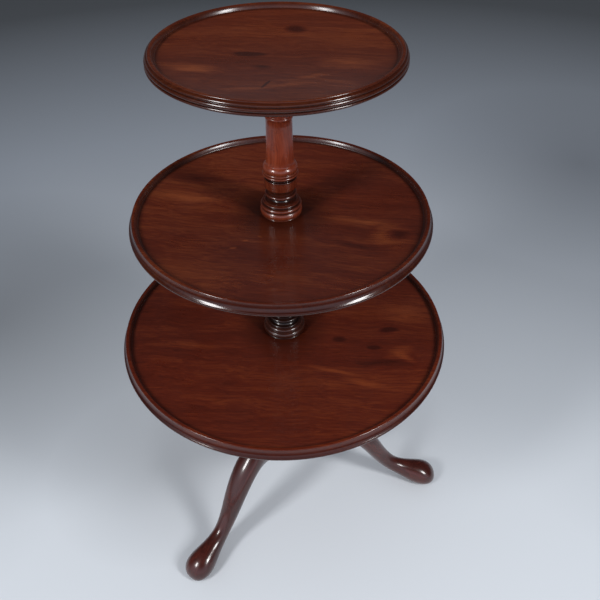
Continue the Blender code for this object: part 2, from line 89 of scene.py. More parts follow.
def mahogany(name, tones, centre, grain, seed, figure, gloss, coat=(0.8, 0.14), marks=(),
             dirt_and_shade=(), dirt_and_shade_along=(1, 0, 0)):
    """French-polished mahogany: red-brown heartwood whose figure, growth streaks and pores show
    through thin clear shellac, which mirrors soft lights as pale highlights with soft edges.
    The grain runs along the X of a frame at centre, turned by grain.
    Marks are (along, across, length, breadth, turn, strength) patches, in metres and degrees,
    light where the strength is positive and dark where it is negative.
    Dirt_and_shade is a list of (place, share of the colour, share of the roughness), where old
    polish, dust and painted shade darken the wood and where hands have rubbed it to a higher
    gloss. Its places are heights on a stem or, where dirt_and_shade_along is (1, 1, 0), radii on
    a tray."""
    made = bpy.data.materials.new(name)
    made.use_nodes = True
    tree = made.node_tree
    shader = tree.nodes["Principled BSDF"]
    place = node(tree, "TexCoord").outputs["Object"]
    board = node(tree, "Mapping", {"Vector": place, "Location": centre, "Rotation": grain},
                 vector_type="TEXTURE").outputs[0]

    # The grain wanders by some 8 mm over a hand's breadth
    wander = node(tree, "TexNoise", {"Vector": board, "Scale": 8.0, "Detail": 2.0})
    wander = node(tree, "VectorMath", {0: wander.outputs["Color"], 1: (0.5, 0.5, 0.5)},
                  operation="SUBTRACT").outputs[0]
    wavy = node(tree, "VectorMath", {0: wander, 1: (0.02, 0.03, 0.03), 2: board},
                operation="MULTIPLY_ADD").outputs[0]

    # Broad figure about 100 mm across, growth streaks 14 mm and fine grain 2.5 mm: the width,
    # how many times as long it is, the detail and the weight
    layers = ((0.100, 5, 2, figure), (0.014, 12, 5, 0.48), (0.0025, 24, 3, 0.75))
    # Each noise lies about 0.5, and from this start so does their sum
    amount = 0.5 - sum(weight for *_, weight in layers) / 2
    for width, stretch, detail, weight in layers:
        drawn = node(tree, "Mapping", {"Vector": wavy, "Location": (seed, seed, seed),
                                       "Scale": (1 / stretch, 1, 1)}).outputs[0]
        layer = node(tree, "TexNoise", {"Vector": drawn, "Scale": 1 / width, "Detail": detail,
                                        "Roughness": 0.6}).outputs["Fac"]
        amount = node(tree, "Math", {0: layer, 1: weight, 2: amount},
                      operation="MULTIPLY_ADD").outputs[0]
    fine_grain = layer
    for along, across, length, breadth, turn, strength in marks:
        patch = node(tree, "Mapping", {"Vector": wavy, "Location": (along, across, 0.0),
                                       "Rotation": (0, 0, math.radians(turn)),
                                       "Scale": (length / 2, breadth / 2, 0.05)},
                     vector_type="TEXTURE").outputs[0]
        patch = node(tree, "TexGradient", {"Vector": patch}, gradient_type="SPHERICAL")
        amount = node(tree, "Math", {0: patch.outputs["Fac"], 1: strength, 2: amount},
                      operation="MULTIPLY_ADD").outputs[0]
    dark, middle, light = tones
    colour = node(tree, "ValToRGB", {"Fac": amount},
                  ((0.12, dark), (0.5, middle), (0.92, light))).outputs[0]

    # Pores 1 mm wide and 17 mm long, drawn about three times as coarse as in life so that they
    # show. Hollows within 12 mm of other wood are darkened by painted shade, from their occlusion,
    # and by nearly black old polish.
    pores = node(tree, "Mapping", {"Vector": wavy, "Scale": (0.06, 1, 1)}).outputs[0]
    pores = node(tree, "TexNoise", {"Vector": pores, "Scale": 1000, "Detail": 1}).outputs["Fac"]
    pores = node(tree, "ValToRGB", {"Fac": pores}, ((0.30, 0.72), (0.42, 1.0))).outputs[0]
    hollow_shade = node(tree, "AmbientOcclusion", {"Distance": 0.012}, samples=8, only_local=True)
    hollow_shade = node(tree, "ValToRGB", {"Fac": hollow_shade.outputs["AO"]},
                   ((0.30, 0.08), (0.80, 1.0))).outputs[0]
    for shade in (pores, hollow_shade):
        colour = node(tree, "Mix", {0: 1.0, 6: colour, 7: shade}, data_type="RGBA",
                      blend_type="MULTIPLY").outputs[2]

    # The arrises are lighter in patches about 17 mm across: worn, and with a painted highlight
    # along the crests and rings
    bend = node(tree, "NewGeometry").outputs["Pointiness"]
    arris = node(tree, "MapRange", {"Value": bend, "From Min": 0.505, "From Max": 0.60}).outputs[0]
    patchy = node(tree, "TexNoise", {"Vector": place, "Scale": 60, "Detail": 3}).outputs["Fac"]
    wear_and_highlight = node(tree, "Math", {0: patchy, 1: arris}, operation="MULTIPLY").outputs[0]
    colour = node(tree, "Mix", {0: wear_and_highlight, 6: colour, 7: linear(light)}, data_type="RGBA").outputs[2]
    if dirt_and_shade:
        reach = node(tree, "Mapping", {"Vector": board, "Scale": dirt_and_shade_along}).outputs[0]
        reach = node(tree, "VectorMath", {0: reach}, operation="LENGTH").outputs["Value"]
        toned = node(tree, "ValToRGB", {"Fac": reach},
                     [(at, share) for at, share, _ in dirt_and_shade]).outputs[0]
        colour = node(tree, "Mix", {0: 1.0, 6: colour, 7: toned}, data_type="RGBA",
                      blend_type="MULTIPLY").outputs[2]
    tree.links.new(colour, shader.inputs["Base Color"])

    # Rubbed shellac: a clear even coat over wood whose own sheen is cloudy, 70 mm to a cloud
    cloud = node(tree, "TexNoise", {"Vector": place, "Scale": 14, "Detail": 4}).outputs["Fac"]
    sheen = node(tree, "MapRange", {"Value": cloud, "From Min": 0.3, "From Max": 0.7,
                                    "To Min": gloss - 0.06, "To Max": gloss + 0.10}).outputs[0]
    if dirt_and_shade:
        rubbed = node(tree, "ValToRGB", {"Fac": reach},
                      [(at, share) for at, _, share in dirt_and_shade]).outputs[0]
        sheen = node(tree, "Math", {0: sheen, 1: rubbed}, operation="MULTIPLY").outputs[0]
    tree.links.new(sheen, shader.inputs["Roughness"])
    relief = node(tree, "Bump", {"Height": fine_grain, "Strength": 0.12,
                                 "Distance": 0.0003}).outputs[0]
    tree.links.new(relief, shader.inputs["Normal"])
    shader.inputs["IOR"].default_value = 1.5
    shader.inputs["Specular IOR Level"].default_value = 0.3
    coat_weight, coat_roughness = coat
    shader.inputs["Coat Weight"].default_value = coat_weight
    shader.inputs["Coat Roughness"].default_value = coat_roughness
    shader.inputs["Coat IOR"].default_value = 1.5
    return made


def pick(made, wanted):
    """Selects the vertices for which wanted is true, in edit mode."""
    bpy.ops.object.mode_set(mode="OBJECT")
    for element in (*made.data.polygons, *made.data.edges):
        element.select = False
    for vertex in made.data.vertices:
        vertex.select = wanted(vertex)
    bpy.ops.object.mode_set(mode="EDIT")
    bpy.ops.mesh.select_mode(type="VERT")


def moulded(corners):
    """A turner's outline. Each (radius, height, bulge) corner runs to the next one straight, or
    on an arc whose height is bulge times half its chord, outwards if that is positive."""
    outline = []
    for (r0, z0, bulge), (r1, z1, _) in zip(corners, corners[1:]):
        outline.append((r0, z0))
        half = 2 * math.atan(abs(bulge))
        steps = math.ceil(half / math.radians(6)) if bulge else 1
        for step in range(1, steps):
            angle = half * (2 * step / steps - 1)
            along = (math.sin(angle) / math.sin(half) + 1) / 2
            out = math.copysign((math.cos(angle) - math.cos(half)) / (2 * math.sin(half)), bulge)
            outline.append((r0 + (r1 - r0) * along + (z1 - z0) * out,
                            z0 + (z1 - z0) * along - (r1 - r0) * out))
    return outline + [corners[-1][:2]]


def turned(name, outline, sides=128):
    """A solid turned about the pillar's axis. An outline that ends on the axis is closed there,
    and one that stays off it is closed round its bore."""
    rings = [point for point in outline if point[0] > 0]
    radius, height = rings[0]
    bpy.ops.object.select_all(action="DESELECT")
    bpy.ops.mesh.primitive_circle_add(vertices=sides, radius=radius, location=(AXIS_X, 0, height))
    made = bpy.context.object
    made.name = made.data.name = name
    bpy.ops.object.transform_apply(location=True, rotation=True, scale=True)
    bpy.ops.object.mode_set(mode="EDIT")
    for r, z in rings[1:]:
        bpy.ops.mesh.extrude_region_move(TRANSFORM_OT_translate={"value": (0, 0, z - height)})
        bpy.ops.transform.resize(value=(r / radius, r / radius, 1), center_override=(AXIS_X, 0, z))
        radius, height = r, z
    last = sides * (len(rings) - 1)
    if len(rings) == len(outline):
        pick(made, lambda vertex: vertex.index < sides or vertex.index >= last)
        bpy.ops.mesh.bridge_edge_loops()
    else:
        for first in (last, 0):
            pick(made, lambda vertex: first <= vertex.index < first + sides)
            bpy.ops.mesh.extrude_region_move()
            bpy.ops.mesh.merge(type="CENTER")
    bpy.ops.mesh.select_all(action="SELECT")
    bpy.ops.mesh.normals_make_consistent(inside=False)
    bpy.ops.object.mode_set(mode="OBJECT")
    return made


def carve(made, tool, operation="DIFFERENCE"):
    """Cuts a piece with a tool, or joins the tool to it, and removes the tool."""
    modifier = made.modifiers.new("Carve", "BOOLEAN")
    modifier.operation, modifier.object, modifier.solver = operation, tool, "EXACT"
    bpy.context.view_layer.objects.active = made
    bpy.ops.object.modifier_apply(modifier=modifier.name)
    bpy.data.objects.remove(tool)


SHARP = math.radians(32)        # an edge that turns by more than this is an arris


def fit(made, look, body, cad_node, softened=0.0004):
    """Softens a finished piece's edges, gives it its material and seats it in its node's place."""
    bpy.ops.object.select_all(action="DESELECT")
    made.select_set(True)
    bpy.context.view_layer.objects.active = made
    if softened:
        edges = made.modifiers.new("Softened edges", "BEVEL")
        edges.width, edges.segments = softened, 2
        edges.limit_method, edges.angle_limit = "ANGLE", SHARP
        bpy.ops.object.modifier_apply(modifier=edges.name)
    bpy.ops.object.shade_smooth_by_angle(angle=SHARP)
    made.data.materials.clear()
    made.data.materials.append(look)
    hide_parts(cad_node)
    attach(made, body)


def dovetail(name, spare, outer, foot, head):
    """Sliding-dovetail tongue on a leg along +X, 15 mm deep, 12 mm wide where it leaves the block
    and 18 mm at its end, or the housing for it with some spare all round."""
    inner, flare, neck = BLOCK_RADIUS - 0.015 - spare, 0.009 + spare, 0.006 + spare
    bpy.ops.object.select_all(action="DESELECT")
    bpy.ops.mesh.primitive_cube_add(size=1)
    made = bpy.context.object
    made.name = made.data.name = name
    bpy.ops.object.mode_set(mode="EDIT")
    bpy.ops.mesh.bisect(plane_co=(0, 0, 0), plane_no=(1, 0, 0))
    bpy.ops.object.mode_set(mode="OBJECT")
    for vertex in made.data.vertices:
        x, y, z = vertex.co
        wide = flare if x < -0.1 else neck
        vertex.co = (inner if x < -0.1 else outer if x > 0.1 else BLOCK_RADIUS,
                     math.copysign(wide, y), head if z > 0 else foot)
    return made


def round_pillar(made, turn):
    """Moves a piece made on a leg along +X of a pillar at the origin to its own leg."""
    made.data.transform(Matrix.Translation((AXIS_X, 0, 0)) @ Matrix.Rotation(turn, 4, "Z"))
    return made


# From the foot up: the block and its ring, a cove, the vase, a bead, the capital, the journal
# and the tenon
vase = [
    (0.0000, BLOCK_FOOT, 0), (0.0360, BLOCK_FOOT, 0.3), (BLOCK_RADIUS, BLOCK_FOOT + 0.002, 0),
    (BLOCK_RADIUS, BLOCK_TOP, 0), (0.0400, 0.2366, 0.9), (0.0400, 0.2470, 0), (0.0372, 0.2490, 0),
    (0.0350, 0.2500, -0.45), (0.0230, 0.2590, 0), (0.0230, 0.2640, -0.18), (0.0330, 0.2790, 0.30),
    (0.0400, 0.3210, 0.12), (0.0330, 0.3480, -0.16), (0.0228, 0.3862, 0), (0.0255, 0.3885, 0.9),
    (0.0255, 0.4010, 0), (0.0232, 0.4035, -0.30), (0.0340, 0.4190, 0.35), (0.0380, 0.4250, 0),
    (0.0380, CAPITAL_TOP, 0), (JOURNAL_RADIUS["bottom"], CAPITAL_TOP, 0),
    (JOURNAL_RADIUS["bottom"], JOURNAL_TOP, 0), (TENON_RADIUS, JOURNAL_TOP, 0),
    (TENON_RADIUS, high.z - 0.001, 0), (TENON_RADIUS - 0.001, high.z, 0), (0.0000, high.z, 0),
]
base = turned("turned_base_stem", moulded(vase))
for turn in LEG_TURNS:
    housing = dovetail("housing", PLAY, BLOCK_RADIUS + 0.002, BLOCK_FOOT - 0.002,
                       BLOCK_FOOT + TONGUE_HEAD + PLAY)
    carve(base, round_pillar(housing, turn))
# A hole for the countersunk screw that holds the middle of the brace
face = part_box("brace_screw_centre")[0][2]
head, shank, tip = 0.0044 + PLAY, 0.0022 + PLAY, face + 0.020 + PLAY
carve(base, turned("centre_hole", [
    (0, face - 0.0018), (head, face - 0.0018), (head, face), (shank, face + 0.0026),
    (shank, face + 0.013), (shank * 0.35, tip), (0, tip)], 32))
stem_look = mahogany("french_polished_mahogany_base_stem", STEM_TONES, (AXIS_X, 0, 0),
                     (0, math.radians(-90), 0), seed=3.1, figure=0.7, gloss=0.30)
fit(base, stem_look, "base", "base_stem")

# Cabriole legs. Three alike, each sawn from a thick plank of mahogany and shaped with rasp and
# scraper: a square root, a round knee, a thin ankle and a long pad foot. Each is housed in the
# block by a sliding dovetail that is one piece with the leg, and polished dark.
REACH, RISE, WIDTH = 0.344, 0.226, 0.049
# Stations from root to toe, as shares of reach and rise on the upper and the lower line, then
# the share of the width, and how round the section is
STATIONS = (
    (0.060, 1.000, 0.060, 0.465, 0.72, 0.35), (0.110, 1.000, 0.110, 0.465, 0.75, 0.35),
    (0.170, 1.000, 0.165, 0.500, 0.84, 0.45), (0.245, 0.982, 0.230, 0.578, 0.94, 0.60),
    (0.322, 0.934, 0.297, 0.636, 1.02, 0.75), (0.398, 0.870, 0.362, 0.655, 1.07, 0.85),
    (0.464, 0.796, 0.410, 0.624, 1.07, 0.90), (0.522, 0.703, 0.453, 0.557, 1.03, 0.95),
    (0.574, 0.596, 0.497, 0.476, 0.96, 1.00), (0.617, 0.491, 0.539, 0.386, 0.87, 1.00),
    (0.654, 0.393, 0.582, 0.294, 0.77, 1.00), (0.694, 0.313, 0.627, 0.212, 0.69, 1.00),
    (0.734, 0.255, 0.678, 0.143, 0.66, 1.00), (0.791, 0.229, 0.744, 0.082, 0.76, 1.00),
    (0.848, 0.218, 0.806, 0.023, 0.98, 1.00), (0.897, 0.209, 0.862, -0.022, 1.16, 1.00),
    (0.941, 0.188, 0.912, -0.030, 1.22, 1.00), (0.976, 0.147, 0.957, -0.026, 1.04, 1.00),
    (0.995, 0.100, 0.987, -0.006, 0.66, 1.00), (1.000, 0.062, 0.999, 0.028, 0.26, 1.00),
)
RING_POINTS = 24                # round each station, before the surface is subdivided
LEG_TONES = ("#1e0b09", "#3e1711", "#662c22")

bpy.ops.object.select_all(action="DESELECT")
bpy.ops.mesh.primitive_plane_add(size=1, location=(1, 0, 0), rotation=(0, math.radians(90), 0))
blank = bpy.context.object
bpy.ops.object.transform_apply(location=True, rotation=True, scale=True)
bpy.ops.object.mode_set(mode="EDIT")
bpy.ops.mesh.delete(type="ONLY_FACE")
bpy.ops.mesh.select_all(action="SELECT")
bpy.ops.mesh.subdivide(number_cuts=RING_POINTS // 4 - 1)
for station in STATIONS[1:]:
    bpy.ops.mesh.extrude_region_move(TRANSFORM_OT_translate={"value": (1, 0, 0)})
for index, (top_x, top_z, low_x, low_z, wide, roundness) in enumerate(STATIONS, 1):
    upper = Vector((top_x * REACH, 0, top_z * RISE))
    lower = Vector((low_x * REACH, 0, low_z * RISE))
    middle, depth = (upper + lower) / 2, (upper - lower).length
    lean = math.atan2(upper.x - lower.x, upper.z - lower.z)
    pick(blank, lambda vertex: abs(vertex.co.x - index) < 0.3)
    bpy.ops.transform.tosphere(value=roundness)
    # Full rounding pushes the square ring's sides out by 15.4 %, and subdividing it draws it in
    # by 1.1 %, so its sides are set to come out right after both
    side = 1.011 / (1 + 0.154 * roundness)
    bpy.ops.transform.resize(value=(1, WIDTH * wide * side, depth * side),
                             center_override=(index, 0, 0))
    bpy.ops.transform.rotate(value=-lean, orient_axis="Y", center_override=(index, 0, 0))
    bpy.ops.transform.translate(value=(middle.x - index, 0, middle.z))
for ring in (0, len(STATIONS) - 1):
    pick(blank, lambda vertex: vertex.index // RING_POINTS == ring)
    bpy.ops.mesh.edge_face_add()
bpy.ops.mesh.select_all(action="SELECT")
bpy.ops.mesh.normals_make_consistent(inside=False)
bpy.ops.object.mode_set(mode="OBJECT")
smooth = blank.modifiers.new("Rasped smooth", "SUBSURF")
smooth.levels = smooth.render_levels = 2
bpy.ops.object.modifier_apply(modifier=smooth.name)
bpy.ops.object.mode_set(mode="EDIT")
bpy.ops.mesh.select_all(action="SELECT")
# The sole is sawn off flat. The cut spares points within 0.1 mm of it, so it is set that high.
bpy.ops.mesh.bisect(plane_co=(0, 0, 0.0001), plane_no=(0, 0, 1), use_fill=True, clear_inner=True)
bpy.ops.object.mode_set(mode="OBJECT")
# The root is hollowed to the block's round, from below the block to over it
hollow = [(0, 0.08), (BLOCK_RADIUS + PLAY, 0.08), (BLOCK_RADIUS + PLAY, 0.25), (0, 0.25)]
for name, turn in zip(LEG_NAMES, LEG_TURNS):
    leg = blank.copy()
    leg.data = blank.data.copy()
    leg.name = leg.data.name = "carved_" + name
    bpy.context.collection.objects.link(leg)
    round_pillar(leg, turn)
    carve(leg, turned("block_hollow", hollow))
    tongue = dovetail("tongue", 0, BLOCK_RADIUS + 0.006, BLOCK_FOOT + TONGUE_FOOT,
                      BLOCK_FOOT + TONGUE_HEAD)
    carve(leg, round_pillar(tongue, turn), "UNION")
    # The grain runs down the leg's slope, 42 degrees below level
    leg_look = mahogany("french_polished_mahogany_" + name, LEG_TONES,
                        (AXIS_X + 0.19 * math.cos(turn), 0.19 * math.sin(turn), 0.12),
                        (0, math.radians(42), turn), seed=5.7 + turn, figure=0.7, gloss=0.28)
    fit(leg, leg_look, "base", name, softened=0.0)
bpy.data.objects.remove(blank)

# Leg brace and its screws. A blacksmith's three-armed plate under the block, its arms bent up
# along the legs, which keeps the dovetails from being forced apart. Four steel screws hold it.

def give(look, part_name):
    """Gives a material to the CAD nodes that stay as they are and have part_name in theirs."""
    for cad_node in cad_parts.values():
        if part_name in cad_node.name:
            cad_node.data.materials.clear()
            cad_node.data.materials.append(look)


# Wrought iron with its black forge scale: matt and mottled, with scale marks 11 mm across, hammer
# marks 7 mm across and a trace of rust
iron = bpy.data.materials.new("forged_wrought_iron")
iron.use_nodes = True
tree, shader = iron.node_tree, iron.node_tree.nodes["Principled BSDF"]
place = node(tree, "TexCoord").outputs["Object"]
scale_marks = node(tree, "TexNoise", {"Vector": place, "Scale": 90, "Detail": 5}).outputs["Fac"]
tone = node(tree, "ValToRGB", {"Fac": scale_marks},
            ((0.35, "#1b1817"), (0.62, "#3a332f"), (0.74, "#54392a"))).outputs[0]
rough = node(tree, "MapRange", {"Value": scale_marks, "To Min": 0.45, "To Max": 0.85}).outputs[0]
hammered = node(tree, "TexVoronoi", {"Vector": place, "Scale": 140}, feature="SMOOTH_F1")
relief = node(tree, "Bump", {"Height": hammered.outputs["Distance"], "Strength": 0.4,
                             "Distance": 0.0005}).outputs[0]
for name, socket in (("Base Color", tone), ("Roughness", rough), ("Normal", relief)):
    tree.links.new(socket, shader.inputs[name])
shader.inputs["Metallic"].default_value = 1.0
give(iron, "leg_brace")

# Steel wood screws dulled by age: grey, with brownish stains 2.5 mm across that are also rougher
steel = bpy.data.materials.new("dulled_steel")
steel.use_nodes = True
tree, shader = steel.node_tree, steel.node_tree.nodes["Principled BSDF"]
place = node(tree, "TexCoord").outputs["Object"]
stain = node(tree, "TexNoise", {"Vector": place, "Scale": 400, "Detail": 4}).outputs["Fac"]
tone = node(tree, "ValToRGB", {"Fac": stain}, ((0.35, "#4a443f"), (0.65, "#8b857d"))).outputs[0]
rough = node(tree, "MapRange", {"Value": stain, "To Min": 0.30, "To Max": 0.60}).outputs[0]
tree.links.new(tone, shader.inputs["Base Color"])
tree.links.new(rough, shader.inputs["Roughness"])
shader.inputs["Metallic"].default_value = 1.0
give(steel, "_screw_")

# Bottom tray. One wide board of mahogany turned on a face plate: a sunk dish with a cove, a
# narrow rounded crest, a quirk, and a tall hollow band that flares out to a bead at the
# underside. A turned block screwed beneath gives it a long bearing on the pillar.
# Rim from the underside up and over into the dish: millimetres inwards from the edge and down
# from the crest, and the bulge of the curve to the next corner
BOTTOM_RIM = (
    (4.6, 21.0, 0), (2.2, 21.0, 0.5), (0.9, 15.6, 0), (2.0, 14.9, -0.14), (6.3, 2.7, 0),
    (6.3, 2.1, 0), (6.0, 1.7, 0.55), (8.6, 0.12, 0.04), (10.6, 0.18, 0.22), (12.4, 1.3, -0.05),
    (15.0, 6.4, -0.30), (17.4, 10.0, 0),
)
BOTTOM_DISH = 0.010             # depth below the crest
BOTTOM_TONES = ("#3a130b", "#551d0f", "#783518")
# An amber streak at the left, dark knots and an amber eye at the right, and pale and dark
# streaks in front: (along, across, length, breadth, turn, strength)
BOTTOM_MARKS = (
    (-0.175, -0.062, 0.20, 0.030, 0, 0.30), (0.205, -0.005, 0.044, 0.016, 0, -1.0),
    (0.176, -0.052, 0.034, 0.014, -6, -1.0), (0.107, -0.033, 0.032, 0.020, 10, -0.7),
    (0.219, -0.064, 0.070, 0.036, 30, 0.35), (0.229, -0.078, 0.050, 0.020, -30, 0.35),
    (0.102, -0.114, 0.110, 0.012, -8, 0.45), (0.155, -0.138, 0.110, 0.018, -12, 0.35),
    (0.186, -0.088, 0.130, 0.026, -4, -0.35), (0.240, 0.040, 0.120, 0.070, 0, 0.30),
    (-0.060, -0.190, 0.220, 0.050, 0, 0.15),
)
BOSS_TONES = ("#24120d", "#432015", "#5e3322")
TOP_SOCKET = 0.0185             # depth of the blind bore in the top tray's boss


def tray(name, rim, depth, tones, seed, grain, marks, gloss, coat=(0.4, 0.20)):
    """A dished tray and the boss under it, which turn together on their journal."""
    low, high = (Vector(corner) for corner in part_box(name + "_tier"))
    radius, dish = (high.x - low.x) / 2, high.z - depth
    bore = JOURNAL_RADIUS[name] + TURNING_PLAY
    through = 0 if name == "top" else bore      # no bore shows in the top tray
    section = [(through, low.z, 0)]
    section += [(radius - inwards / 1000, high.z - down / 1000, bulge)
                for inwards, down, bulge in rim]
    cove_foot = section[-1][0]
    section += [(through, dish, 0)]
    board = turned("turned_" + name + "_tray", moulded(section), 256)
    # Painted shade darkens the dish round a stem's foot and the rim's inner slope. Old wax and
    # painted shade darken the foot of the cove, and the rim is darker below its crest. Dusters keep
    # the cove and the rim smoother than the dish, and the crest clean.
    stem_foot_shade = 0.42 if through else 1.0
    dirt_and_shade = ((0.0, stem_foot_shade, 1.0), (0.038, stem_foot_shade, 1.0), (0.064, 0.4 + 0.6 * stem_foot_shade, 1.0),
            (0.095, 1.0, 1.0), (cove_foot - 0.004, 1.0, 1.0), (cove_foot + 0.001, 0.30, 1.0),
            (cove_foot + 0.003, 0.35, 0.60), (radius - 0.0125, 0.50, 0.60),
            (radius - 0.0110, 1.0, 0.55), (radius - 0.0074, 1.0, 0.42),
            (radius - 0.0062, 0.40, 0.38))
    look = mahogany("french_polished_mahogany_" + name + "_tray", tones, (AXIS_X, 0, dish),
                    (0, 0, math.radians(grain)), seed, 0.6, gloss, coat, marks, dirt_and_shade, (1, 1, 0))
    fit(board, look, name + "_tray", name + "_tier", softened=0.0003)

    low, high = (Vector(corner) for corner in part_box(name + "_boss"))
    outer = (high.x - low.x) / 2
    block = [(through, low.z, 0), (outer * 0.80, low.z, 0), (outer * 0.84, low.z, 0.45),
             (outer * 0.93, low.z + 0.0075, 0), (outer * 0.93, low.z + 0.0105, 0),
             (outer * 0.95, low.z + 0.0125, 0), (outer * 0.97, low.z + 0.0130, 0.5),
             (outer * 0.97, high.z - 0.001, 0), (outer * 0.96, high.z, 0), (through, high.z, 0)]
    if not through:
        block[:1] = [(0, low.z + TOP_SOCKET, 0), (bore, low.z + TOP_SOCKET, 0), (bore, low.z, 0)]
    boss = turned("turned_" + name + "_boss", moulded(block), 96)
    # The boss is only stained and waxed, so it is duller than the tray. Its grain runs across
    # the tray's, which keeps the board flat.
    look = mahogany("waxed_mahogany_" + name + "_boss", BOSS_TONES, (AXIS_X, 0, 0),
                    (0, 0, math.radians(grain + 90)), seed + 2, 0.6, gloss=0.50, coat=(0.1, 0.4))
    fit(boss, look, name + "_tray", name + "_boss")


tray("bottom", BOTTOM_RIM, BOTTOM_DISH, BOTTOM_TONES, seed=11.3, grain=2, marks=BOTTOM_MARKS,
     gloss=0.32, coat=(0.3, 0.25))

# Middle stem. Turned mahogany baluster that stands on the bottom tray's journal, with a stepped
# foot over the tray and a capital under the next one. Its tenon is glued into the stem above.
# Radius and height in millimetres, and the bulge of the curve to the next corner
MIDDLE_FOOT = (
    (39.0, 0.0, 0), (38.0, 0.5, 0.40), (38.2, 11.2, 0), (36.8, 11.7, 0), (36.8, 12.3, 0),
    (34.8, 12.9, 0.50), (32.4, 19.4, 0), (30.2, 20.2, 0), (30.2, 21.2, 0), (30.8, 21.7, 0.50),
    (30.6, 23.8, 0), (28.0, 24.2, -0.30), (24.4, 26.6, -0.20), (24.2, 28.4, -0.25), (27.4, 32.4, 0),
    (27.7, 32.9, 0.85), (27.7, 37.6, 0),
)
# From the top of the foot up to the capital: sloping neck, drum, two rings, shoulder, shaft,
# astragal and capital
STEM_BODY = (
    (21.9, 0.7, 0), (23.8, 7.8, 0), (23.0, 8.2, 0), (23.0, 8.9, 0), (25.8, 9.5, 0.30),
    (26.6, 11.5, 0), (26.6, 26.4, 0.30), (25.8, 27.4, 0), (24.0, 28.1, -0.08), (24.2, 32.3, 0),
    (28.2, 32.9, 0.65), (28.2, 36.4, 0), (27.0, 36.8, 0), (27.0, 37.4, 0), (27.6, 37.7, 0.50),
    (27.4, 40.4, 0), (26.6, 40.8, 0), (26.6, 41.3, 0), (27.6, 41.7, 0.36), (23.4, 53.0, -0.08),
    (22.4, 60.0, 0), (20.9, 102.9, 0), (20.8, 116.9, 0), (20.6, 130.3, 0), (20.8, 130.8, 0.50),
    (20.8, 136.2, 0), (20.2, 137.0, 0), (19.8, 165.0, -0.28), (30.6, 182.4, 0.25),
    (32.4, 186.4, 0), (32.5, 199.4, 0),
)
MIDDLE_GIRTH = 1.06             # the middle stem is that much thicker than the upper one
# Black polish and painted shade in the stems' hollows and under their overhanging rings, and a
# foot and drum darker than the shaft: height in millimetres over the foot, and the share of the
# colour that is left
BLACK_POLISH_AND_SHADE = (
    (0.0, 0.35), (2.0, 0.62), (11.6, 0.66), (12.8, 0.15), (14.2, 0.66), (19.2, 0.60),
    (20.6, 0.08), (21.8, 0.08), (23.2, 0.45), (24.6, 0.35), (26.0, 0.06), (34.2, 0.06),
    (36.0, 0.35), (39.4, 0.40), (41.0, 0.12), (47.0, 0.20), (48.6, 0.08), (50.5, 0.40),
    (66.0, 0.46), (67.8, 0.12), (72.4, 0.12), (74.0, 0.60), (84.0, 0.62), (92.0, 0.85),
    (115.0, 1.0),
)
SOCKET_DEPTH = 0.0263           # of the bore in a stem's foot, for the tenon below
# Darker than the upper stem's tones, matched to the middle stem's foot, which stands in shade under
# the middle tray: partly nearly black polish, partly painted shade
MIDDLE_STEM_SHADED_TONES = ("#1c0e0b", "#3a1a12", "#61301f")


def stem(cad_node, tray_above, foot, girth, journal_top, tones, seed):
    """A baluster on the journal of the stem below, with a socket for its tenon."""
    low, high = (Vector(corner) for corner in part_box(cad_node))
    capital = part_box(tray_above + "_boss")[0][2] - PLAY
    journal = JOURNAL_RADIUS[tray_above]
    start = low.z + foot[-1][1] / 1000
    stretch = (capital - start) / STEM_BODY[-1][1]
    socket = TENON_RADIUS + PLAY
    section = [(0, low.z + SOCKET_DEPTH, 0), (socket, low.z + SOCKET_DEPTH, 0), (socket, low.z, 0)]
    section += [(r / 1000, low.z + z / 1000, bulge) for r, z, bulge in foot]
    section += [(girth * r / 1000, start + stretch * z, bulge) for r, z, bulge in STEM_BODY]
    section += [(journal, capital, 0), (journal, journal_top, 0)]
    if high.z > journal_top + 0.001:
        section += [(TENON_RADIUS, journal_top, 0), (TENON_RADIUS, high.z - 0.001, 0),
                    (TENON_RADIUS - 0.001, high.z, 0)]
    section.append((0, high.z, 0))
    made = turned("turned_" + cad_node, moulded(section))
    dirt_and_shade = [(low.z + height / 1000, share, 1.0) for height, share in BLACK_POLISH_AND_SHADE]
    look = mahogany("french_polished_mahogany_" + cad_node, tones, (AXIS_X, 0, 0),
                    (0, math.radians(-90), 0), seed, 0.7, gloss=0.28, coat=(0.8, 0.15), dirt_and_shade=dirt_and_shade)
    fit(made, look, "base", cad_node, softened=0.0002)


stem("middle_stem", "middle", MIDDLE_FOOT, MIDDLE_GIRTH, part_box("upper_stem")[0][2] - PLAY,
     MIDDLE_STEM_SHADED_TONES, seed=7.9)

# Middle tray. As the bottom tray, turned a little thinner from another board, with an amber
# streak to the left, an eye of curled grain to the right and a few old scratches in front.
MIDDLE_RIM = (
    (4.2, 20.0, 0), (2.2, 20.0, 0.5), (0.9, 14.4, 0), (2.0, 13.7, -0.16), (6.3, 2.6, 0),
    (6.3, 2.0, 0), (6.0, 1.6, 0.55), (8.6, 0.12, 0.04), (10.6, 0.18, 0.22), (12.4, 1.3, -0.05),
    (15.0, 6.1, -0.30), (17.4, 9.5, 0),
)
MIDDLE_DISH = 0.0095
MIDDLE_TONES = ("#36110a", "#501d0f", "#75381b")
MIDDLE_MARKS = (
    (-0.175, 0.016, 0.170, 0.026, -2, 0.36), (0.140, -0.012, 0.180, 0.030, 0, 0.45),
    (0.189, -0.042, 0.080, 0.062, 20, 0.55), (0.200, -0.042, 0.050, 0.036, 20, -0.75),
    (0.120, -0.075, 0.160, 0.022, -6, -0.30), (-0.170, 0.080, 0.120, 0.040, 0, -0.35),
    (-0.041, -0.091, 0.012, 0.004, 25, 1.2), (-0.020, -0.079, 0.010, 0.003, -15, 1.2),
    (-0.057, -0.112, 0.013, 0.003, 10, 1.2), (-0.120, -0.120, 0.200, 0.060, 0, 0.15),
)
tray("middle", MIDDLE_RIM, MIDDLE_DISH, MIDDLE_TONES, seed=23.9, grain=-4, marks=MIDDLE_MARKS,
     gloss=0.30)
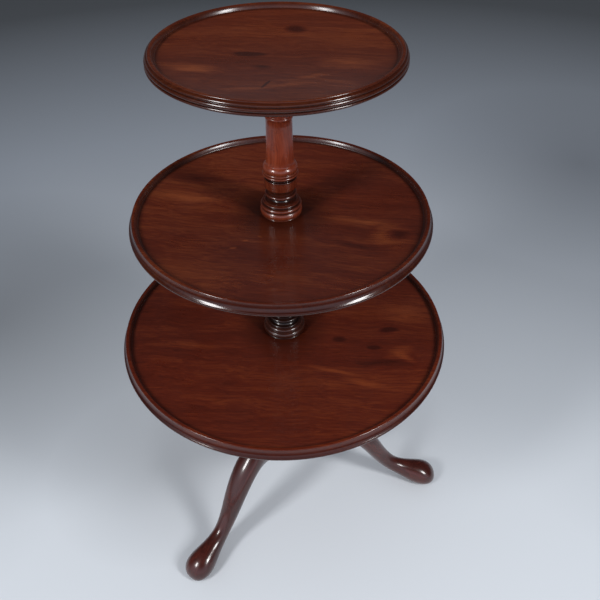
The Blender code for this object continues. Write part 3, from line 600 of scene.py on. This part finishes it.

# Upper stem. As the middle stem, slimmer and longer, since the top tray stands higher. It ends
# in the journal that the top tray sits on, with no tenon. It is redder than the middle stem,
# whose darker tones are partly painted shade.
UPPER_FOOT = (
    (34.2, 0.0, 0), (33.0, 0.5, 0.42), (32.6, 12.1, 0), (31.4, 12.5, 0), (31.4, 13.1, 0),
    (32.5, 13.5, 0.72), (31.5, 19.8, 0), (29.6, 20.5, 0), (29.6, 21.6, 0), (30.3, 22.1, 0.60),
    (30.2, 24.6, 0), (27.0, 24.9, 0), (26.4, 25.6, -0.30), (18.2, 28.4, -0.20), (18.0, 30.2, -0.25),
    (23.8, 34.4, 0), (24.4, 35.0, 0.75), (24.4, 40.1, 0),
)
stem("upper_stem", "top", UPPER_FOOT, 1.0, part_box("upper_stem")[1][2], STEM_TONES, seed=15.2)

# Top tray. As the others and the smallest, with two reeds in place of the hollow band, from a
# board with wavy grain and two dark knots. Its boss is bored only part way, and it sits on the
# last journal by its own weight.
TOP_RIM = (
    (4.4, 17.5, 0), (1.9, 17.5, 0.6), (1.4, 13.7, 0), (2.6, 13.3, 0), (2.6, 12.8, 0),
    (1.4, 12.4, 0.42), (1.9, 7.6, 0), (3.4, 7.0, 0), (3.4, 6.4, 0), (2.4, 5.9, 0.45),
    (5.4, 2.4, 0), (6.3, 1.9, 0), (6.2, 1.5, 0.5), (8.4, 0.12, 0.04), (10.4, 0.18, 0.22),
    (12.2, 1.2, -0.05), (14.8, 5.6, -0.30), (17.0, 8.5, 0),
)
TOP_DISH = 0.0085
TOP_TONES = ("#3a160d", "#552212", "#7a3c1e")
TOP_MARKS = (
    (-0.036, -0.014, 0.060, 0.020, 0, -0.75), (-0.046, -0.012, 0.028, 0.011, 0, -0.7),
    (0.019, 0.085, 0.040, 0.034, 0, -0.75), (-0.012, -0.060, 0.036, 0.018, 0, -0.4),
    (-0.001, -0.110, 0.026, 0.005, 62, -3.0), (-0.110, -0.066, 0.110, 0.036, -8, 0.40),
    (-0.106, -0.076, 0.060, 0.014, -6, 0.35), (0.105, -0.035, 0.110, 0.050, 0, 0.3),
    (0.020, -0.113, 0.130, 0.013, 12, 0.30), (0.062, -0.082, 0.084, 0.016, 26, 0.32),
    (0.082, -0.094, 0.090, 0.013, -8, 0.25), (-0.030, -0.125, 0.100, 0.012, 8, 0.22),
)
tray("top", TOP_RIM, TOP_DISH, TOP_TONES, seed=37.5, grain=0, marks=TOP_MARKS, gloss=0.30)

# Floor, lights and camera. A studio's pale paper floor with a painted pool of light, brightest in
# front of the table, with one tall soft box at the front left and another at the front right, in
# a dim grey room.
bpy.ops.object.select_all(action="DESELECT")
bpy.ops.mesh.primitive_circle_add(vertices=128, radius=9, location=(0, 0, -0.0005),
                                  fill_type="NGON")
floor = bpy.context.object
floor.name = "studio_floor"
bpy.ops.object.transform_apply(location=True, rotation=True, scale=True)

# Matt paper, which shows no highlight. Its colour holds a painted pool of light: lightest 0.6 m in
# front of the table, going over into dark grey at 8 m, and nearer than that behind the camera,
# where the polish would mirror it.
paper = bpy.data.materials.new("matt_grey_paper")
paper.use_nodes = True
tree, shader = paper.node_tree, paper.node_tree.nodes["Principled BSDF"]
place = node(tree, "TexCoord").outputs["Object"]
spot = node(tree, "Mapping", {"Vector": place, "Location": (0.1, -0.6, 0.0), "Scale": (8, 8, 8)},
            vector_type="TEXTURE").outputs[0]
away = node(tree, "VectorMath", {0: spot}, operation="LENGTH").outputs["Value"]
tone = node(tree, "ValToRGB", {"Fac": away}, (
    (0.0, "#d5dae0"), (0.09, "#d0d5db"), (0.125, "#c4c9cf"), (0.19, "#a8adb4"),
    (0.29, "#979da6"), (0.50, "#565a5e"), (1.0, "#3a3c3f"))).outputs[0]
front = node(tree, "SeparateXYZ", {"Vector": place}).outputs["Y"]
shades = [node(tree, "MapRange", {"Value": front, "From Min": -1.6, "From Max": -1.2,
                                  "To Min": 0.4}).outputs[0]]
# The room's own shade on the left, at the back right and beside the front leg: (x, y, radius,
# share of the light that is lost in its middle)
for x, y, radius, lost in ((-0.95, 0.42, 0.72, 0.42), (0.98, 1.50, 0.70, 0.36),
                           (-0.33, -0.03, 0.26, 0.26)):
    patch = node(tree, "Mapping", {"Vector": place, "Location": (x, y, 0), "Scale": (radius,) * 3},
                 vector_type="TEXTURE").outputs[0]
    patch = node(tree, "TexGradient", {"Vector": patch}, gradient_type="SPHERICAL").outputs["Fac"]
    shades.append(node(tree, "MapRange", {"Value": patch, "To Min": 1.0,
                                          "To Max": 1 - lost}).outputs[0])
for shade in shades:
    tone = node(tree, "Mix", {0: 1.0, 6: tone, 7: shade}, data_type="RGBA",
                blend_type="MULTIPLY").outputs[2]
tree.links.new(tone, shader.inputs["Base Color"])
shader.inputs["Roughness"].default_value = 0.85
floor.data.materials.append(paper)

BOX_WIDTH, BOX_HEIGHT = 0.45, 0.85
BOX_DISTANCE, BOX_RISE = 2.4, math.radians(30)      # from the aim, and up from it
aim = Vector((AXIS_X, 0, 0.75))
for name, heading, watts in (("left_softbox", 226, 35), ("right_softbox", 330, 36)):
    lamp = bpy.data.lights.new(name, "AREA")
    lamp.shape, lamp.size, lamp.size_y, lamp.energy = "RECTANGLE", BOX_WIDTH, BOX_HEIGHT, watts
    holder = bpy.data.objects.new(name, lamp)
    bpy.context.collection.objects.link(holder)
    turn = math.radians(heading)
    back = Vector((math.cos(turn) * math.cos(BOX_RISE), math.sin(turn) * math.cos(BOX_RISE),
                   math.sin(BOX_RISE)))
    holder.location = aim + back * BOX_DISTANCE
    holder.rotation_euler = back.to_track_quat("Z", "Y").to_euler()

# The room as lit surfaces see it is one even grey. The polish mirrors it darker towards the
# ceiling, and mirrors a pale wall in front, which gives the rims their grey-violet sheen.
world = bpy.data.worlds.new("studio_room")
bpy.context.scene.world = world
world.use_nodes = True
tree = world.node_tree
ray = node(tree, "TexCoord").outputs["Generated"]
ray = node(tree, "SeparateXYZ", {"Vector": ray}).outputs
mirrored = node(tree, "ValToRGB", {"Fac": ray["Z"]}, (
    (0.0, "#63666b"), (0.30, "#2c2d30"), (0.72, "#17181a"), (1.0, "#3a3b3e"))).outputs[0]
wall = node(tree, "ValToRGB", {"Fac": ray["Z"]}, (
    (0.0, "#77747a"), (0.08, "#ebe4f2"), (0.5, "#cdc6d6"), (0.75, "#000000"))).outputs[0]
ahead = node(tree, "MapRange", {"Value": ray["Y"], "From Min": -0.1, "From Max": -0.6}).outputs[0]
mirrored = node(tree, "Mix", {0: ahead, 6: mirrored, 7: wall}, data_type="RGBA",
                blend_type="ADD").outputs[2]
glossy = node(tree, "LightPath").outputs["Is Glossy Ray"]
air = node(tree, "Mix", {0: glossy, 6: linear("#aaaeb4"), 7: mirrored}, data_type="RGBA")
tree.links.new(air.outputs[2], tree.nodes["Background"].inputs["Color"])

# Fitted to the rims, the stems' feet and the pad feet, with a 36 mm wide sensor
camera = bpy.data.objects.new("camera", bpy.data.cameras.new("camera"))
bpy.context.collection.objects.link(camera)
camera.location = (0.10564, -0.96285, 1.38742)
camera.rotation_euler = [math.radians(angle) for angle in (48.564, 0.266, 5.275)]
camera.data.lens = 41.266
camera.data.sensor_width = 36
bpy.context.scene.camera = camera
bpy.context.scene.view_settings.view_transform = "Standard"

bpy.context.view_layer.update()
